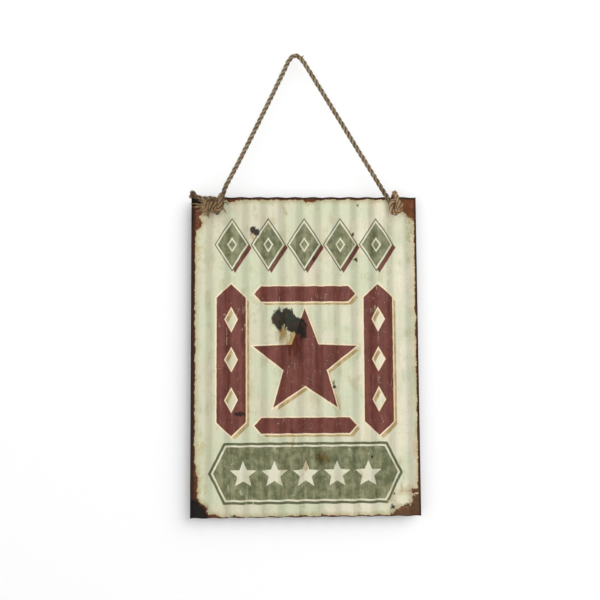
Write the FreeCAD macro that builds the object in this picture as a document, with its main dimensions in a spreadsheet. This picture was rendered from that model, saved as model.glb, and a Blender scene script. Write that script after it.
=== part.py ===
import FreeCAD, Part
import math
import os
import Sketcher
from FreeCAD import Placement, Rotation, Vector

# Hanging wall sign: a sheet of corrugated steel on a jute rope.
# Millimetres. +Z is up, and the printed side of the sheet looks along -Y.
# The origin is the hang point, where the inside of the rope's bend rests on its nail.
# The rope is knotted in front of two holes near the top corners of the sheet.
# From each knot it goes back through the hole, up behind the sheet and over the top edge.

SIZES = {
    "sheet_width": 250.0,
    "sheet_height": 350.0,
    "sheet_gauge": 0.4,
    "wave_pitch": 20.0,
    "wave_depth": 3.6,
    "wave_radius": 6.0,
    "hole_diameter": 8.0,
    "hole_to_side": 25.0,
    "hole_to_top": 12.0,
    "hang_drop": 160.0,
    "hang_offset": 7.5,
    "rope_diameter": 5.0,
    "rope_gap": 0.3,
    "knot_core": 4.2,
    "wrap_land": 2.2,
    "left_wraps": 4,
    "right_wraps": 3,
    "knot_tilt": 20.0,
    "loop_rise": 4.8,
}

ARC_SHARE = 0.45  # share of the shorter run that an arc of the rope's route takes up
VOLUME_SHARE = 0.01  # largest share by which a tube's volume may miss section times length

doc = FreeCAD.newDocument("hanging_wall_sign")


# Sizes of the sign

def size_sheet():
    """Spreadsheet with one named cell for each driving dimension."""
    sheet = doc.addObject("Spreadsheet::Sheet", "Sizes")
    for row, (name, value) in enumerate(SIZES.items(), start=1):
        sheet.set(f"A{row}", name)
        sheet.set(f"B{row}", str(value))
        sheet.setAlias(f"B{row}", name)
    doc.recompute()
    return sheet


sizes = size_sheet()


def size(name):
    """Value of one named cell."""
    return float(sizes.get(name))


# Help for sketches

def origin_plane(body, role):
    """Origin plane of a body, found by its role."""
    return next(f for f in body.Origin.OriginFeatures if f.Role == role)


def new_sketch(body, name, role):
    """Sketch on one of the body's own origin planes."""
    sketch = body.newObject("Sketcher::SketchObject", name)
    sketch.AttachmentSupport = [(origin_plane(body, role), "")]
    sketch.MapMode = "FlatFace"
    return sketch


def arc(centre, radius, start, end):
    """Arc in the sketch plane between two angles in degrees."""
    circle = Part.Circle(centre, Vector(0, 0, 1), radius)
    return Part.ArcOfCircle(circle, math.radians(start), math.radians(end))


def line(start, end):
    """Line in the sketch plane."""
    return Part.LineSegment(start, end)


def bind(sketch, constraint, name, expression):
    """Adds a dimension to a sketch and ties it to the size sheet."""
    index = sketch.addConstraint(constraint)
    sketch.renameConstraint(index, name)
    sketch.setExpression(f"Constraints.{name}", expression)


# Corrugated sheet

WAVE_COUNT = "2 * ceil(Sizes.sheet_width / (2 * Sizes.wave_pitch))"
START, END, CENTRE = range(1, 4)  # the point of an edge that a constraint holds


def wave_angle():
    """Slope of the straight flank between a crest and a valley, in degrees."""
    half_pitch = size("wave_pitch") / 2
    rise = 2 * size("wave_radius") - size("wave_depth")
    across = math.hypot(half_pitch, rise)
    lean = math.asin(2 * size("wave_radius") / across)
    return math.degrees(lean - math.atan2(rise, half_pitch))


def wave_sketch(body):
    """Section of one wave, valley to valley: arcs at crest and valleys, straight flanks between."""
    sketch = new_sketch(body, "WaveSection", "XY_Plane")
    radius = size("wave_radius")
    gauge = size("sheet_gauge")
    half_pitch = size("wave_pitch") / 2
    first_crest = -size("wave_pitch") * (2 * math.ceil(size("sheet_width") / (4 * half_pitch)) - 1) / 2
    lift = radius - size("wave_depth") / 2
    crest = Vector(first_crest, lift, 0)
    right = Vector(first_crest + half_pitch, -lift, 0)
    left = Vector(first_crest - half_pitch, -lift, 0)
    slope = wave_angle()
    outer = radius + gauge / 2
    inner = radius - gauge / 2
    curves = [
        arc(crest, outer, -90 - slope, -90 + slope),
        arc(crest, inner, -90 - slope, -90 + slope),
        arc(right, inner, 90, 90 + slope),
        arc(right, outer, 90, 90 + slope),
        arc(left, inner, 90 - slope, 90),
        arc(left, outer, 90 - slope, 90),
    ]
    front, back, right_front, right_back, left_front, left_back = sketch.addGeometry(curves, False)
    joints = [
        (front, END, right_front, END),
        (back, END, right_back, END),
        (front, START, left_front, START),
        (back, START, left_back, START),
    ]
    for first, first_end, second, second_end in joints:
        start = sketch.getPoint(first, first_end)
        end = sketch.getPoint(second, second_end)
        flank = sketch.addGeometry(line(start, end), False)
        sketch.addConstraint(Sketcher.Constraint("Tangent", first, first_end, flank, START))
        sketch.addConstraint(Sketcher.Constraint("Tangent", second, second_end, flank, END))
    caps = [
        (right_front, right_back, START),
        (left_front, left_back, END),
    ]
    for inner_arc, outer_arc, tip in caps:
        start = sketch.getPoint(inner_arc, tip)
        end = sketch.getPoint(outer_arc, tip)
        cap = sketch.addGeometry(line(start, end), False)
        sketch.addConstraint(Sketcher.Constraint("Coincident", inner_arc, tip, cap, START))
        sketch.addConstraint(Sketcher.Constraint("Coincident", outer_arc, tip, cap, END))
        sketch.addConstraint(Sketcher.Constraint("Vertical", cap))
        sketch.addConstraint(Sketcher.Constraint("Vertical", inner_arc, CENTRE, inner_arc, tip))
    for first, second in ((front, back), (right_front, right_back), (left_front, left_back)):
        sketch.addConstraint(Sketcher.Constraint("Coincident", first, CENTRE, second, CENTRE))
    for first, second in ((front, right_back), (front, left_back), (back, right_front), (back, left_front)):
        sketch.addConstraint(Sketcher.Constraint("Equal", first, second))
    sketch.addConstraint(Sketcher.Constraint("Horizontal", right_front, CENTRE, left_front, CENTRE))
    bind(sketch, Sketcher.Constraint("Radius", front, outer), "outer_radius",
         "Sizes.wave_radius + Sizes.sheet_gauge / 2")
    bind(sketch, Sketcher.Constraint("Radius", back, inner), "inner_radius",
         "Sizes.wave_radius - Sizes.sheet_gauge / 2")
    bind(sketch, Sketcher.Constraint("DistanceX", front, CENTRE, -1, START, -first_crest), "first_crest",
         f"({WAVE_COUNT} - 1) / 2 * Sizes.wave_pitch")
    bind(sketch, Sketcher.Constraint("DistanceX", front, CENTRE, right_front, CENTRE, half_pitch),
         "right_valley", "Sizes.wave_pitch / 2")
    bind(sketch, Sketcher.Constraint("DistanceX", left_front, CENTRE, front, CENTRE, half_pitch),
         "left_valley", "Sizes.wave_pitch / 2")
    bind(sketch, Sketcher.Constraint("DistanceY", -1, START, front, CENTRE, lift), "crest_lift",
         "Sizes.wave_radius - Sizes.wave_depth / 2")
    bind(sketch, Sketcher.Constraint("DistanceY", right_front, CENTRE, front, CENTRE, 2 * lift),
         "valley_drop", "2 * Sizes.wave_radius - Sizes.wave_depth")
    return sketch


def rectangle(sketch, low, high):
    """Four lines with square corners. Returns the indices of the bottom, right, top and left line."""
    corners = [low, Vector(high.x, low.y, 0), high, Vector(low.x, high.y, 0)]
    sides = sketch.addGeometry([line(corners[i], corners[(i + 1) % 4]) for i in range(4)], False)
    for i in range(4):
        sketch.addConstraint(Sketcher.Constraint("Coincident", sides[i], END, sides[(i + 1) % 4], START))
        direction = "Horizontal" if i % 2 == 0 else "Vertical"
        sketch.addConstraint(Sketcher.Constraint(direction, sides[i]))
    return sides


def trim_sketch(body):
    """Two rectangles that cut the rows of waves to the width of the sheet."""
    sketch = new_sketch(body, "SideTrim", "XY_Plane")
    half_width = size("sheet_width") / 2
    pitch = size("wave_pitch")
    depth = size("wave_depth")
    for side, name in ((-1, "left"), (1, "right")):
        edge = side * half_width
        far = side * (half_width + 2 * pitch)
        sides = rectangle(sketch, Vector(min(edge, far), -depth, 0), Vector(max(edge, far), depth, 0))
        bottom, right, top, left = sides
        near = right if side < 0 else left
        ends = (near, START, -1, START) if side < 0 else (-1, START, near, START)
        bind(sketch, Sketcher.Constraint("DistanceX", *ends, half_width), f"{name}_edge",
             "Sizes.sheet_width / 2")
        bind(sketch, Sketcher.Constraint("DistanceX", bottom, START, bottom, END, 2 * pitch),
             f"{name}_reach", "2 * Sizes.wave_pitch")
        bind(sketch, Sketcher.Constraint("DistanceY", right, START, right, END, 2 * depth),
             f"{name}_depth", "2 * Sizes.wave_depth")
        bind(sketch, Sketcher.Constraint("DistanceY", bottom, START, -1, START, depth),
             f"{name}_front", "Sizes.wave_depth")
    return sketch


def hole_sketch(body):
    """The two rope holes, each in a valley near a top corner."""
    sketch = new_sketch(body, "RopeHoles", "XZ_Plane")
    across = size("sheet_width") / 2 - size("hole_to_side")
    down = size("hole_to_top")
    radius = size("hole_diameter") / 2
    for side, name in ((-1, "left"), (1, "right")):
        centre = Vector(side * across, -down, 0)
        circle = sketch.addGeometry(Part.Circle(centre, Vector(0, 0, 1), radius), False)
        ends = (circle, CENTRE, -1, START) if side < 0 else (-1, START, circle, CENTRE)
        bind(sketch, Sketcher.Constraint("DistanceX", *ends, across), f"{name}_across",
             "Sizes.sheet_width / 2 - Sizes.hole_to_side")
        bind(sketch, Sketcher.Constraint("DistanceY", circle, CENTRE, -1, START, down), f"{name}_down",
             "Sizes.hole_to_top")
        bind(sketch, Sketcher.Constraint("Radius", circle, radius), f"{name}_radius",
             "Sizes.hole_diameter / 2")
    return sketch


def corrugated_sheet():
    """Steel sheet with upright waves, cut square and pierced by two holes."""
    body = doc.addObject("PartDesign::Body", "CorrugatedSheet")
    body.Label = "corrugated_sheet"
    pad = body.newObject("PartDesign::Pad", "Wave")
    pad.Profile = wave_sketch(body)
    pad.setExpression("Length", "Sizes.sheet_height")
    pad.Reversed = True
    doc.recompute()
    rows = body.newObject("PartDesign::LinearPattern", "Waves")
    rows.Originals = [pad]
    rows.Direction = (origin_plane(body, "X_Axis"), [""])
    rows.Mode = "Spacing"
    rows.setExpression("Offset", "Sizes.wave_pitch")
    rows.setExpression("Occurrences", WAVE_COUNT)
    body.Tip = rows
    doc.recompute()
    trim = body.newObject("PartDesign::Pocket", "SquareSides")
    trim.Profile = trim_sketch(body)
    trim.Type = "ThroughAll"
    body.Tip = trim
    doc.recompute()
    holes = body.newObject("PartDesign::Pocket", "Holes")
    holes.Profile = hole_sketch(body)
    holes.Type = "ThroughAll"
    holes.SideType = "Symmetric"
    body.Tip = holes
    body.setExpression("Placement.Base.x", "Sizes.hang_offset")
    body.setExpression("Placement.Base.z", "-Sizes.hang_drop")
    doc.recompute()
    return body


# Places that the rope and its knots are set from

half_depth = (size("wave_depth") + size("sheet_gauge")) / 2
rope_reach = half_depth + size("rope_gap") + size("rope_diameter") / 2
knot_reach = half_depth + size("rope_gap") + size("knot_core") + size("rope_diameter") / 2
hole_across = size("sheet_width") / 2 - size("hole_to_side")
hole_level = -size("hang_drop") - size("hole_to_top")
left_hole = Vector(size("hang_offset") - hole_across, 0, hole_level)
right_hole = Vector(size("hang_offset") + hole_across, 0, hole_level)
left_centre = left_hole + Vector(1.1, -knot_reach, -1.3)
right_centre = right_hole + Vector(2.7, -knot_reach, -2.6)


# Knots

def knot_sketch(body, wraps):
    """Half outline of a knot: one bevelled ridge for each wrap of the rope, side by side along the axis."""
    sketch = new_sketch(body, "Wraps", "XY_Plane")
    wrap = size("rope_diameter")
    core = size("knot_core")
    land = size("wrap_land")
    slope = (wrap - land) / 2
    crown = core + wrap / 2
    low = -wraps * wrap / 2
    foot = Vector(low, core, 0)
    outline = []
    for i in range(wraps):
        step = Vector(i * wrap, 0, 0)
        ridge = [
            foot + step,
            Vector(low + slope, crown, 0) + step,
            Vector(low + slope + land, crown, 0) + step,
            foot + step + Vector(wrap, 0, 0),
        ]
        outline.append(sketch.addGeometry([line(ridge[j], ridge[j + 1]) for j in range(3)], False))
    corners = [foot, Vector(low, 0, 0), Vector(-low, 0, 0), Vector(-low, core, 0)]
    left, axis, right = sketch.addGeometry([line(corners[j], corners[j + 1]) for j in range(3)], False)
    rise, top, fall = outline[0]
    last_fall = outline[-1][2]
    chain = [(left, axis), (axis, right)]
    chain += [(ridge[0], ridge[1]) for ridge in outline]
    chain += [(ridge[1], ridge[2]) for ridge in outline]
    chain += [(outline[i][2], outline[i + 1][0]) for i in range(wraps - 1)]
    for first, second in chain:
        sketch.addConstraint(Sketcher.Constraint("Coincident", first, END, second, START))
    sketch.addConstraint(Sketcher.Constraint("Coincident", left, START, rise, START))
    sketch.addConstraint(Sketcher.Constraint("Coincident", right, END, last_fall, END))
    sketch.addConstraint(Sketcher.Constraint("PointOnObject", axis, START, -1))
    sketch.addConstraint(Sketcher.Constraint("Symmetric", axis, START, axis, END, -1, START))
    sketch.addConstraint(Sketcher.Constraint("Vertical", left))
    sketch.addConstraint(Sketcher.Constraint("Vertical", right))
    for ridge in outline:
        sketch.addConstraint(Sketcher.Constraint("Horizontal", ridge[1]))
        sketch.addConstraint(Sketcher.Constraint("Horizontal", ridge[0], START, ridge[2], END))
        sketch.addConstraint(Sketcher.Constraint("Equal", ridge[0], ridge[2]))
    for ridge in outline[1:]:
        sketch.addConstraint(Sketcher.Constraint("Equal", top, ridge[1]))
        sketch.addConstraint(Sketcher.Constraint("Equal", rise, ridge[0]))
        sketch.addConstraint(Sketcher.Constraint("Horizontal", top, START, ridge[1], START))
    bind(sketch, Sketcher.Constraint("DistanceX", rise, START, fall, END, wrap), "wrap_width",
         "Sizes.rope_diameter")
    bind(sketch, Sketcher.Constraint("DistanceX", top, START, top, END, land), "wrap_land",
         "Sizes.wrap_land")
    bind(sketch, Sketcher.Constraint("DistanceY", -1, START, rise, START, core), "core", "Sizes.knot_core")
    bind(sketch, Sketcher.Constraint("DistanceY", -1, START, top, START, crown), "crown",
         "Sizes.knot_core + Sizes.rope_diameter / 2")
    return sketch


def knot(name, wraps, centre):
    """Knot as a plain barrel of rope wraps, tilted in the plane of the sheet."""
    body = doc.addObject("PartDesign::Body", name)
    turned = body.newObject("PartDesign::Revolution", "Barrel")
    turned.Profile = knot_sketch(body, wraps)
    turned.ReferenceAxis = (turned.Profile[0], ["H_Axis"])
    turned.Angle = 360.0
    body.Placement = Placement(centre, Rotation(Vector(0, 1, 0), size("knot_tilt")))
    doc.recompute()
    return body


# Rope

def route_wire(name, points):
    """Straight runs joined by tangent arcs, each as large as its two runs allow. Prints the radii."""
    count = len(points)
    cuts = [points[0]]
    edges = []
    radii = []
    for i in range(1, count - 1):
        before = points[i - 1] - points[i]
        after = points[i + 1] - points[i]
        turn = math.pi - before.getAngle(after)
        reach = ARC_SHARE * min(before.Length, after.Length)
        radius = reach / math.tan(turn / 2)
        before.normalize()
        after.normalize()
        towards = before + after
        towards.normalize()
        middle = points[i] + towards * (radius / math.cos(turn / 2) - radius)
        start = points[i] + before * reach
        end = points[i] + after * reach
        edges.append(Part.LineSegment(cuts[-1], start).toShape())
        edges.append(Part.Arc(start, middle, end).toShape())
        cuts.append(end)
        radii.append(radius)
    edges.append(Part.LineSegment(cuts[-1], points[-1]).toShape())
    wire = Part.Wire(edges)
    print(f"{name}: route {wire.Length:.1f} mm, arc radii", ", ".join(f"{r:.1f}" for r in radii))
    return wire


def rope_tube(name, points):
    """Plain round tube along a route. Its volume is compared with section times length."""
    spine = doc.addObject("Part::Feature", f"{name}_route")
    spine.Shape = route_wire(name, points)
    section = doc.addObject("Part::Circle", f"{name}_section")
    section.setExpression("Radius", "Sizes.rope_diameter / 2")
    section.Placement = Placement(points[0], Rotation(Vector(0, 0, 1), points[1] - points[0]))
    tube = doc.addObject("Part::Sweep", f"{name}_tube")
    tube.Sections = [section]
    tube.Spine = (spine, [f"Edge{i + 1}" for i in range(len(spine.Shape.Edges))])
    tube.Solid = True
    tube.Frenet = False
    doc.recompute()
    expected = math.pi * size("rope_diameter") ** 2 / 4 * spine.Shape.Length
    if abs(tube.Shape.Volume - expected) > VOLUME_SHARE * expected:
        raise RuntimeError(f"{name}: tube volume {tube.Shape.Volume:.1f}, expected {expected:.1f}")
    return tube


def ended_at(name, tube, knots):
    """Tube cut off where it meets the surface of each knot, so that they touch face to face."""
    cut = tube
    for i, body in enumerate(knots):
        base = cut
        cut = doc.addObject("Part::Cut", f"{name}_cut{i}")
        cut.Base = base
        cut.Tool = body
    cut.Label = name
    doc.recompute()
    return cut


def group(name, shapes):
    """Separate solids that share one node."""
    compound = doc.addObject("Part::Compound", name)
    compound.Links = shapes
    compound.Label = name
    doc.recompute()
    return compound


def hang_route():
    """From the left knot up to the bend over the nail and down to the right knot."""
    return [
        left_hole + Vector(9.2, -knot_reach, -1.0),
        left_hole + Vector(9.7, -knot_reach + 0.2, 14.5),
        Vector(-6.6, 0, 2.2),
        Vector(3.3, 0, 2.7),
        right_hole + Vector(-2.1, -6.9, 0.0),
    ]


def loop_route(hole, lean, tuck):
    """From inside the knot aslant through the hole, up behind the sheet, over its top edge and down."""
    top = size("hole_to_top") + size("loop_rise")
    stand = rope_reach + size("rope_gap")
    return [
        hole + Vector(0, -stand - 0.9, -3.6),
        hole + Vector(0, stand + 1.2, 2.1),
        hole + Vector(lean, stand - 0.8, top),
        hole + Vector(lean, -stand, top),
        hole + Vector(tuck, -knot_reach, 2.0),
    ]


def tail_route():
    """From the left knot along the top edge to the frayed end at the corner."""
    return [
        left_hole + Vector(-6.5, -7.5, 2.5),
        left_hole + Vector(-13.5, -5.0, 9.0),
        left_hole + Vector(-23.0, -3.5, 14.5),
    ]


# The sign

sheet = corrugated_sheet()
left_knot = knot("LeftKnot", int(size("left_wraps")), left_centre)
right_knot = knot("RightKnot", int(size("right_wraps")), right_centre)
edge_knots = group("edge_knots", [left_knot, right_knot])
rope_ends = group("rope_ends", [
    ended_at("left_loop", rope_tube("LeftLoop", loop_route(left_hole, 4.4, 2.8)), [left_knot]),
    ended_at("right_loop", rope_tube("RightLoop", loop_route(right_hole, 2.6, 5.0)), [right_knot]),
    ended_at("left_tail", rope_tube("LeftTail", tail_route()), [left_knot]),
])
hanging_rope = ended_at("hanging_rope", rope_tube("Hanging", hang_route()), [left_knot, right_knot])
PIECES = [(sheet, 1), (hanging_rope, 1), (edge_knots, 2), (rope_ends, 3)]


def check(pieces):
    """Stops if any object failed to build, or a piece isn't valid or has the wrong number of solids."""
    for item in doc.Objects:
        if "Invalid" in item.State or "Error" in item.State:
            raise RuntimeError(f"{item.Name} failed: {item.State}")
    for piece, solids in pieces:
        shape = piece.Shape
        if shape.isNull() or not shape.isValid() or len(shape.Solids) != solids:
            raise RuntimeError(f"{piece.Label} is not {solids} valid solids")


def write(pieces):
    """One STEP file for each piece, named by its label."""
    os.makedirs("parts", exist_ok=True)
    for piece, _ in pieces:
        piece.Shape.exportStep(os.path.join("parts", f"{piece.Label}.step"))
        box = piece.Shape.BoundBox
        print(f"{piece.Label}: {piece.Shape.Volume:.1f} mm3, box {box.XMin:.1f} {box.YMin:.1f} {box.ZMin:.1f} "
              f"to {box.XMax:.1f} {box.YMax:.1f} {box.ZMax:.1f}")


doc.recompute()
check(PIECES)
write(PIECES)
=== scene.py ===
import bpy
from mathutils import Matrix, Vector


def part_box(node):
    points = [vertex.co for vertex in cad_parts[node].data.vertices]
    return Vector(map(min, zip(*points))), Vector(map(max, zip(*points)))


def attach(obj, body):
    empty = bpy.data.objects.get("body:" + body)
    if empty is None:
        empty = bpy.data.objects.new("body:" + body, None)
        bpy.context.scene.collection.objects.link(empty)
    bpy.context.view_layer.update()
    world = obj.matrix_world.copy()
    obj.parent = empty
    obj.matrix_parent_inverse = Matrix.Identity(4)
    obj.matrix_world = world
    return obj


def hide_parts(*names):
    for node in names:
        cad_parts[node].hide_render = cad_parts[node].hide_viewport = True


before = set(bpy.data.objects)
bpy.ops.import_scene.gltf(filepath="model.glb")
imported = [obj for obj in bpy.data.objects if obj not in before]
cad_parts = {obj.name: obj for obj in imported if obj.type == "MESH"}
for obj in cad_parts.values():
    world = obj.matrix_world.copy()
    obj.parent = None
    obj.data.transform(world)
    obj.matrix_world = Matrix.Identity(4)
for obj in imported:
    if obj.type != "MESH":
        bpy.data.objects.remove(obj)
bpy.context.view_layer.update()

import math
import random
from collections import namedtuple

import bpy
from mathutils import Matrix, Vector, noise

# Hanging wall sign: printed corrugated steel on a knotted three-strand jute rope.
# Everything is in metres. Places that are easier to read in millimetres go through place().

MM = 0.001


def place(x, y, z):
    """Point given in millimetres."""
    return Vector((x, y, z)) * MM


sheet_low, sheet_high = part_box("corrugated_sheet")
SHEET_MIDDLE = (sheet_low.x + sheet_high.x) / 2
SHEET_TOP = sheet_high.z
SHEET_HALF = (sheet_high.x - sheet_low.x) / 2
SHEET_HEIGHT = sheet_high.z - sheet_low.z
WALL_DEPTH = 12 * MM


# Camera. Its turns are in degrees, and its lens and sensor in millimetres.

CAMERA_PLACE = place(-27.18, -879.44, -344.9)
CAMERA_HEADING = -1.897
CAMERA_LOOK_UP = 4.567
CAMERA_ROLL = 0.204
CAMERA_LENS = 48
SENSOR_WIDTH = 36


def camera():
    """Camera at the photograph's place, direction and field of view."""
    data = bpy.data.cameras.new("camera")
    data.lens = CAMERA_LENS
    data.sensor_width = SENSOR_WIDTH
    roll = Matrix.Rotation(math.radians(CAMERA_ROLL), 3, "Y")
    look_up = Matrix.Rotation(math.radians(CAMERA_LOOK_UP), 3, "X")
    heading = Matrix.Rotation(math.radians(CAMERA_HEADING), 3, "Z")
    level = Matrix.Rotation(math.radians(90), 3, "X")
    turned = (roll @ look_up @ heading @ level).to_4x4()
    obj = bpy.data.objects.new("camera", data)
    obj.matrix_world = Matrix.Translation(CAMERA_PLACE) @ turned
    bpy.context.collection.objects.link(obj)
    bpy.context.scene.camera = obj


camera()
bpy.context.scene.view_settings.view_transform = "Standard"


# Help for shader nodes

def feed(tree, socket, value):
    """Links a field to a socket, or sets the socket to a plain value."""
    if isinstance(value, Field):
        tree.links.new(value.socket, socket)
    else:
        socket.default_value = value


class Field:
    """A number or colour that varies over a surface: the output of a shader node."""

    def __init__(self, tree, socket):
        self.tree = tree
        self.socket = socket

    def math(self, operation, *others):
        """Math node with this field as its first number."""
        node = self.tree.nodes.new("ShaderNodeMath")
        node.operation = operation
        for socket, value in zip(node.inputs, (self, *others)):
            feed(self.tree, socket, value)
        return Field(self.tree, node.outputs[0])

    def __add__(self, other):
        return self.math("ADD", other)

    def __sub__(self, other):
        return self.math("SUBTRACT", other)

    def __mul__(self, other):
        return self.math("MULTIPLY", other)

    def __truediv__(self, other):
        return self.math("DIVIDE", other)

    def __rsub__(self, other):
        return self.math("MULTIPLY_ADD", -1.0, other)

    def __neg__(self):
        return self.math("MULTIPLY", -1.0)

    def __abs__(self):
        return self.math("ABSOLUTE")

    def least(self, other):
        return self.math("MINIMUM", other)

    def most(self, other):
        return self.math("MAXIMUM", other)

    def rise(self, low, high):
        """Goes smoothly from 0 at low to 1 at high. It falls where low is the larger."""
        node = self.tree.nodes.new("ShaderNodeMapRange")
        node.interpolation_type = "SMOOTHSTEP"
        feed(self.tree, node.inputs["Value"], self)
        node.inputs["From Min"].default_value = low
        node.inputs["From Max"].default_value = high
        return Field(self.tree, node.outputs["Result"])


def point(x, y, z=0.0):
    """Vector made of a field and two more fields or numbers."""
    node = x.tree.nodes.new("ShaderNodeCombineXYZ")
    for socket, value in zip(node.inputs, (x, y, z)):
        feed(x.tree, socket, value)
    return Field(x.tree, node.outputs[0])


def parts_of(tree, socket):
    """The three numbers of a vector."""
    node = tree.nodes.new("ShaderNodeSeparateXYZ")
    tree.links.new(socket, node.inputs[0])
    return [Field(tree, output) for output in node.outputs]


def speckle(at, size, detail=3.0, roughness=0.5, distortion=0.0):
    """Noise from 0 to 1 with blotches of about this size, in the units of the vector at."""
    node = at.tree.nodes.new("ShaderNodeTexNoise")
    feed(at.tree, node.inputs["Vector"], at)
    node.inputs["Scale"].default_value = 1.0 / size
    node.inputs["Detail"].default_value = detail
    node.inputs["Roughness"].default_value = roughness
    node.inputs["Distortion"].default_value = distortion
    return Field(at.tree, node.outputs["Fac"])


def mix(share, base, over, blend="MIX"):
    """Colour that goes from base to over as share goes from 0 to 1."""
    node = share.tree.nodes.new("ShaderNodeMix")
    node.data_type = "RGBA"
    node.blend_type = blend
    for index, value in ((0, share), (6, base), (7, over)):
        feed(share.tree, node.inputs[index], value)
    return Field(share.tree, node.outputs[2])


def tint(share, base, over):
    """Multiplies base by over as share goes from 0 to 1."""
    return mix(share, base, over, "MULTIPLY")


def screen(red, green, blue):
    """Linear colour from the 0 to 255 values of a screen colour."""
    def linear(value):
        share = value / 255
        return share / 12.92 if share <= 0.04045 else ((share + 0.055) / 1.055) ** 2.4
    return (linear(red), linear(green), linear(blue), 1.0)


def new_material(name):
    """Material with one Principled shader. Returns the material, its tree and the shader."""
    material = bpy.data.materials.new(name)
    material.use_nodes = True
    tree = material.node_tree
    shader = next(node for node in tree.nodes if node.type == "BSDF_PRINCIPLED")
    return material, tree, shader


def bump(shader, height, distance):
    """Relief of the shader's surface: height times distance, in metres."""
    tree = height.tree
    node = tree.nodes.new("ShaderNodeBump")
    node.inputs["Distance"].default_value = distance
    feed(tree, node.inputs["Height"], height)
    tree.links.new(node.outputs["Normal"], shader.inputs["Normal"])


# Shapes of the print. Each gives the distance from its outline in mm, negative inside.
# u runs right from the middle of the sheet and v down from its top edge, in mm.

TOP_LEVEL = 53.0
MAIN_LEVEL = 180.0
STAR_LEVEL = 184.0
POST_ACROSS = 81.0
BEAM_AWAY = 72.0
PANEL_LEVEL = 303.0
PANEL_STARS_LEVEL = 304.5


def lozenge(u, v, half_width, half_height):
    """Lozenge with its middle at zero."""
    flat = half_width * half_height / math.hypot(half_width, half_height)
    return (abs(u) / half_width + abs(v) / half_height - 1.0) * flat


def pointed_bar(along, across, half_length, half_width, point_length):
    """Straight bar whose two ends come to a point."""
    slope = point_length / half_width
    ends = (abs(along) + abs(across) * slope - half_length) * (1 / math.hypot(1, slope))
    return (abs(across) - half_width).most(ends)


def star(u, v, reach, waist):
    """Five-pointed star with one tip up."""
    sector = math.pi / 5
    away = (u * u + v * v).math("SQRT")
    folded = u.math("ARCTAN2", -v).math("PINGPONG", sector)
    side_x = waist * math.sin(sector)
    side_y = reach - waist * math.cos(sector)
    length = math.hypot(side_x, side_y)
    across = away * folded.math("SINE") * (side_y / length)
    up = (away * folded.math("COSINE") - reach) * (side_x / length)
    return across + up


def in_row(u, pitch, last):
    """Repeats what stands at zero, pitch apart, out to this many places on each side."""
    nearest = (u / pitch).math("ROUND").most(-float(last)).least(float(last))
    return u - nearest * pitch


def top_motif(u, v):
    """Row of five lozenges."""
    return lozenge(in_row(u, pitch=40.0, last=2), v - TOP_LEVEL, half_width=19.5, half_height=30.0)


def main_motif(u, v):
    """Star between two upright pointed bars, with a flat pointed bar above and below it."""
    across = abs(u) - POST_ACROSS
    down = v - MAIN_LEVEL
    posts = pointed_bar(down, across, half_length=83.0, half_width=16.0, point_length=15.0)
    beams = pointed_bar(u, abs(down) - BEAM_AWAY, half_length=56.0, half_width=8.5, point_length=8.0)
    middle = star(u, v - STAR_LEVEL, reach=60.0, waist=25.0)
    return posts.least(beams).least(middle)


def post_windows(u, v):
    """Openings in the upright bars: three lozenges in each."""
    step = in_row(v - MAIN_LEVEL, pitch=44.0, last=1)
    return lozenge(abs(u) - POST_ACROSS, step, half_width=7.5, half_height=14.0)


def panel_shape(u, v):
    """Long six-sided panel near the bottom edge."""
    return pointed_bar(u, v - PANEL_LEVEL, half_length=106.0, half_width=33.0, point_length=17.0)


def panel_stars(u, v):
    """Row of five small stars on the panel."""
    return star(in_row(u, pitch=34.0, last=2), v - PANEL_STARS_LEVEL, reach=15.0, waist=6.6)


# Wear of the sheet. Patches and stains are given by middle and half size, u, v, in mm.

CREAM = screen(214, 210, 184)
CREAM_RIGHT = screen(233, 227, 203)
PALE_GREEN = screen(207, 214, 182)
SHADE_CREAM = screen(200, 197, 166)
INLINE_CREAM = screen(224, 221, 196)
INLINE_WARM = screen(244, 227, 192)
PRINT_GREEN = screen(146, 147, 112)
PRINT_GREEN_DARK = screen(94, 99, 67)
OLIVE = screen(84, 84, 52)
RED = screen(122, 66, 54)
RED_DARK = screen(90, 42, 33)
TAN = screen(202, 178, 130)
TAN_DARK = screen(172, 146, 98)
RUST = screen(116, 68, 42)
RUST_DARK = screen(72, 42, 26)
RUST_BRIGHT = screen(158, 98, 58)
RUST_GREY = screen(106, 82, 60)
EDGE_BROWN = screen(48, 34, 24)
SOOT = screen(14, 14, 12)
STAIN_BROWN = screen(184, 150, 88)
STAIN_YELLOW = screen(196, 174, 116)
STEEL = screen(176, 176, 170)
STEEL_DARK = screen(146, 145, 139)

EDGE_RUST = {"left": 4.3, "right": 2.4, "top": 2.8, "bottom": 1.1}

CORNER_PATCHES = [
    (-125, 12, 13, 10),
    (-129, 20, 11.5, 10),
    (-124, 29, 10.5, 8.5),
    (-118, 0, 20, 9),
    (-82, 1, 10, 3.4),
    (127, 0, 22, 25),
    (127, 24, 5, 19),
    (-127, 353, 23, 26),
    (-106, 352, 13, 6),
    (-126, 314, 9, 28),
    (127, 352, 15, 27),
    (118, 354, 28, 15),
    (127, 326, 5, 16),
    (122, 323, 9, 2.8),
    (7, 1, 8, 5),
]

SOOT_PATCHES = [
    (-127, 354, 21, 24),
    (-122, 2, 9, 8),
    (-127, 24, 2.6, 16),
    (127, 352, 5, 3),
]

BROWN_STAINS = [
    (-12, 158, 11, 28),
    (-24, 148, 9, 20),
    (-15, 266, 4.0, 13),
    (-56, 46, 3.4, 12),
    (18, 287, 11, 9),
    (0, 292, 5, 17),
    (10, 2.5, 5, 3),
    (104, 318, 1.6, 6),
    (96, 330, 1.4, 5),
    (-21, 17, 2.6, 3),
]

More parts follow.
